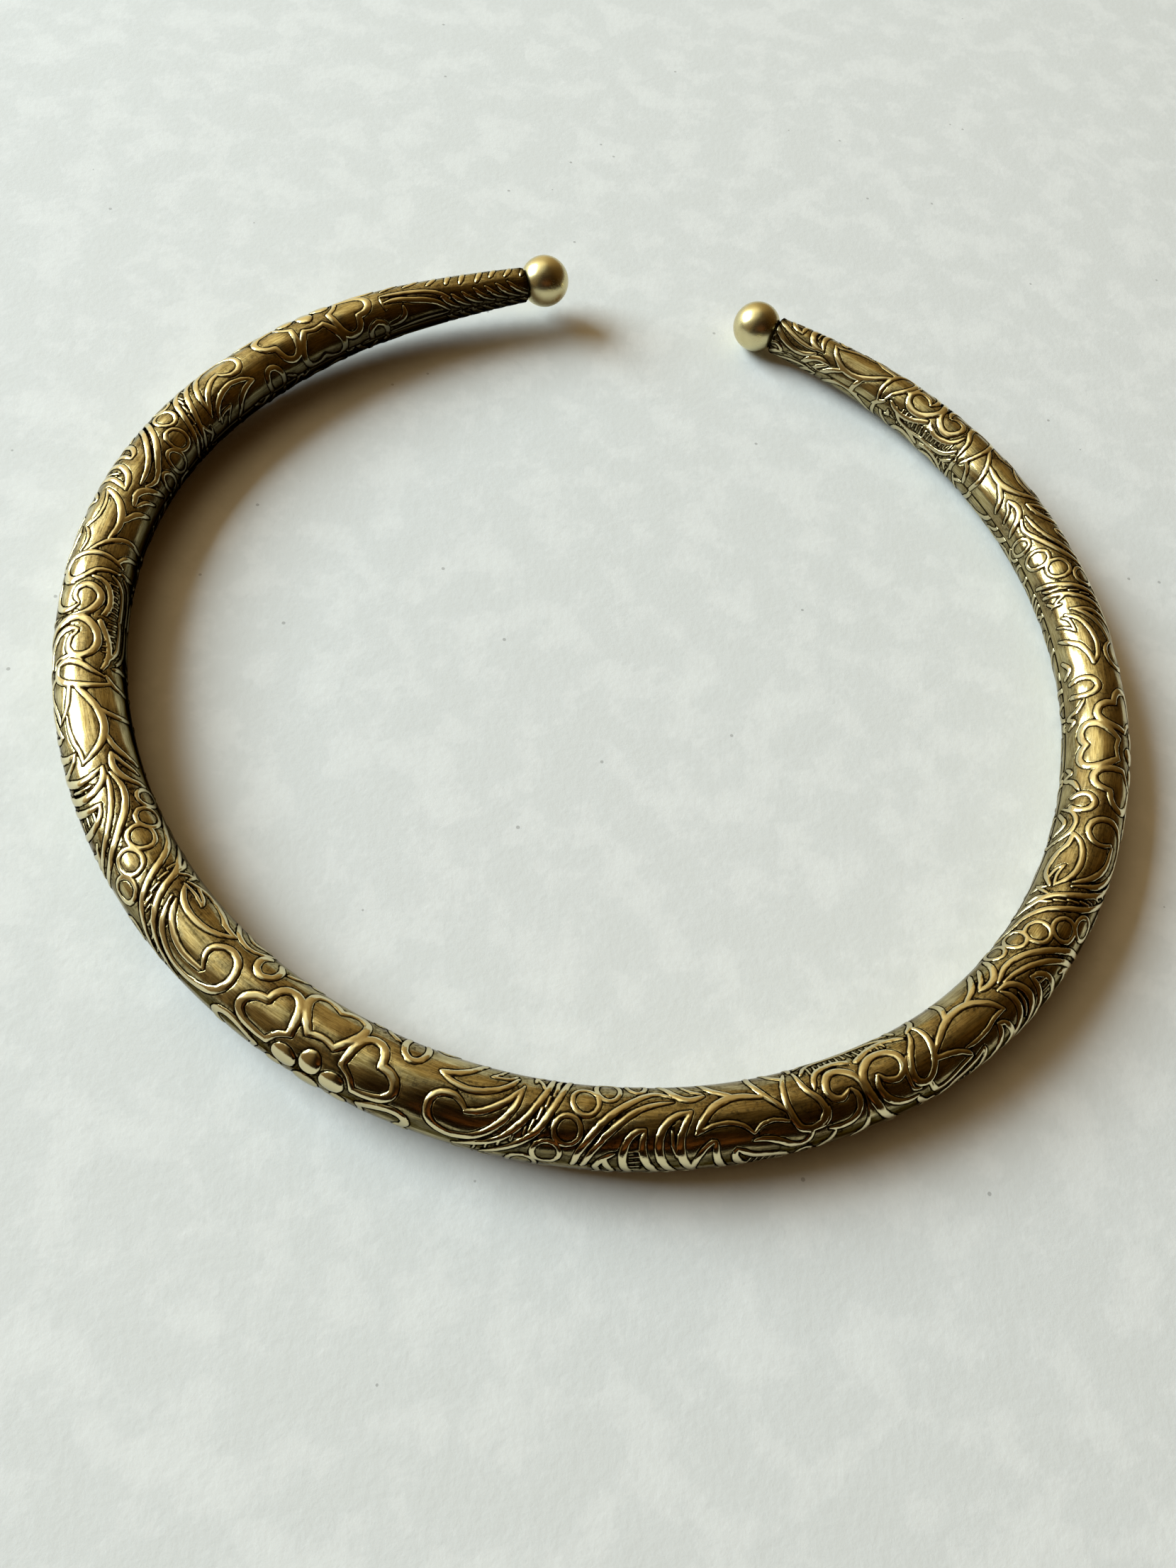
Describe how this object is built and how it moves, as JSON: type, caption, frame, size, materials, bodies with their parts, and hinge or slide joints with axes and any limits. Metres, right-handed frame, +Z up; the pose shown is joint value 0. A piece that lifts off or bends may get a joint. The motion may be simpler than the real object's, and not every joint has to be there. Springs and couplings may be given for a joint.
{
  "type": "open collar choker",
  "caption": "Rigid open neck ring of embossed brass tube, thick at the front and slim at the back, with a smooth ball on each end.",
  "frame": {"origin": "centre of the bottom of the ring's bounding box, on the table it lies on", "axes": "+Z up through the neck opening, +Y towards the gap between the two balls, +X to the wearer's left as the ring lies with its front towards -Y"},
  "size_m": [0.1384, 0.1324, 0.0095],
  "materials": {
    "embossed_brass": "embossed and antiqued, dark in the hollows",
    "polished_brass": "polished, lightly scratched"
  },
  "bodies": {
    "root": {"collar_tube": "embossed_brass", "left_ball": "polished_brass", "right_ball": "polished_brass"}
  },
  "joints": []
}
